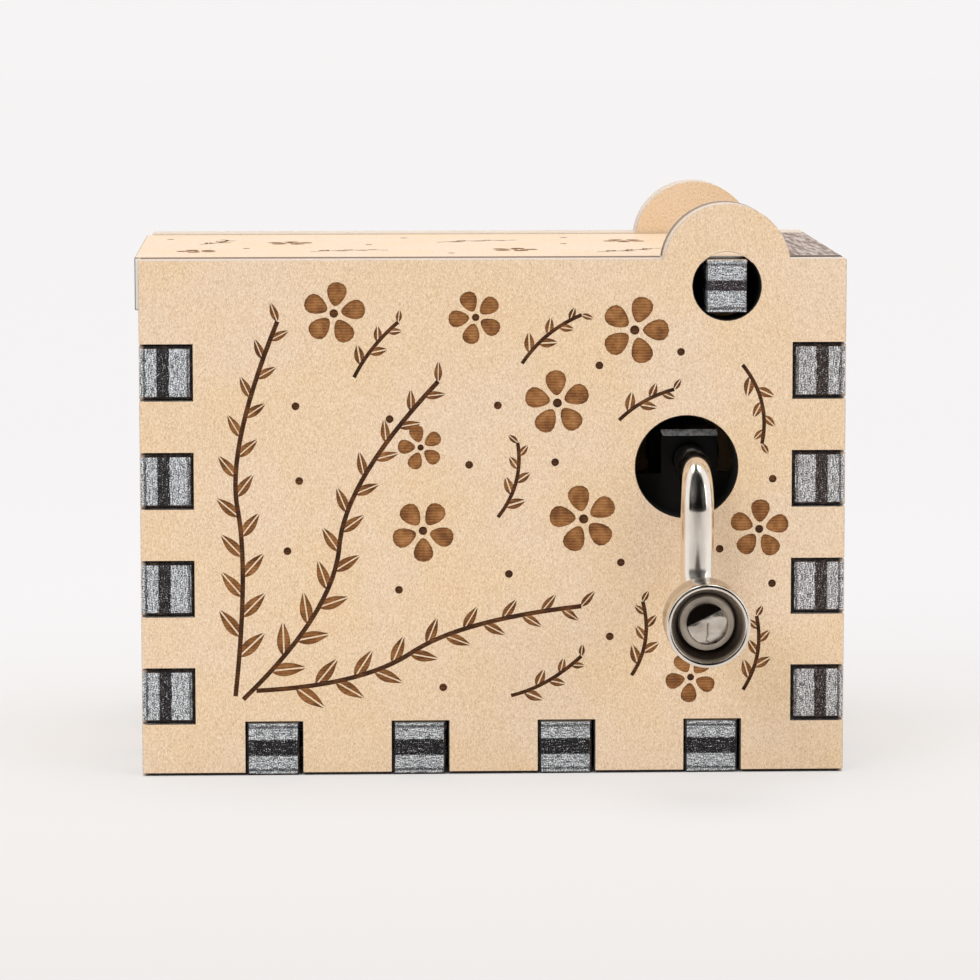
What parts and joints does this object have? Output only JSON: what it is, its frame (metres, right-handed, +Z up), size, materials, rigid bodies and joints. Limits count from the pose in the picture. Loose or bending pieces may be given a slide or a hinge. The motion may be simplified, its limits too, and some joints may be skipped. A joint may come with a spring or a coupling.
{
  "type": "cylinder music box",
  "caption": "Hand-cranked cylinder music box: finger-jointed plywood case with a hinged lid, bent crank with a turning knob, and a worm-driven pinned drum that plays a steel comb.",
  "frame": {"origin": "middle of the case's underside, on the surface that the box stands on", "axes": "+X to the right as the crank is faced, +Y from the crank towards the back, +Z up"},
  "size_m": [0.0645, 0.0591, 0.052],
  "materials": {
    "basswood_ply": "bare basswood plywood, laser-cut with charred edges",
    "nickel_rod": "nickel-plated steel rod, polished",
    "nickel_knob": "nickel-plated turned steel",
    "black_moulding": "glossy black moulding",
    "zinc_casting": "bright die-cast zinc",
    "comb_steel": "ground spring steel",
    "lead_weight": "dull lead",
    "screw_steel": "zinc-plated steel",
    "drum_brass": "bright brass tube",
    "nylon_gear": "natural white nylon",
    "black_acetal": "black acetal"
  },
  "bodies": {
    "case": {"front_wall": "basswood_ply", "rear_wall": "basswood_ply", "left_wall": "basswood_ply", "right_wall": "basswood_ply", "bottom_panel": "basswood_ply", "bedplate": "zinc_casting", "crank_bracket": "black_moulding", "bracket_screws": "screw_steel", "mounting_screws": "screw_steel", "comb": "comb_steel", "comb_leads": "lead_weight", "comb_screws": "screw_steel"},
    "lid": {"lid": "basswood_ply"},
    "crank": {"crank_rod": "nickel_rod", "worm": "black_acetal", "thrust_washer": "screw_steel", "worm_spacer": "black_acetal", "knob_washer": "screw_steel"},
    "knob": {"crank_knob": "nickel_knob"},
    "drum": {"drum": "drum_brass", "drum_end_cap": "nylon_gear", "drum_gear": "nylon_gear", "drum_arbor": "screw_steel"}
  },
  "joints": [
    {"name": "lid_hinge", "type": "hinge", "parent": "case", "child": "lid", "pos_m": [0.02115, 0, 0.04455], "axis": [0, 1, 0], "range_deg": [0, 134]},
    {"name": "crank_spin", "type": "hinge", "parent": "case", "child": "crank", "pos_m": [0.0182, 0, 0.0282], "axis": [0, 1, 0], "continuous": true},
    {"name": "knob_spin", "type": "hinge", "parent": "crank", "child": "knob", "pos_m": [0.0182, -0.033, 0.016], "axis": [0, 1, 0], "continuous": true},
    {"name": "drum_spin", "type": "hinge", "parent": "case", "child": "drum", "pos_m": [0, -0.00715, 0.0197], "axis": [1, 0, 0], "continuous": true}
  ],
  "couplings": [
    {"joint": "drum_spin", "follows": "crank_spin", "ratio": 0.0625}
  ]
}
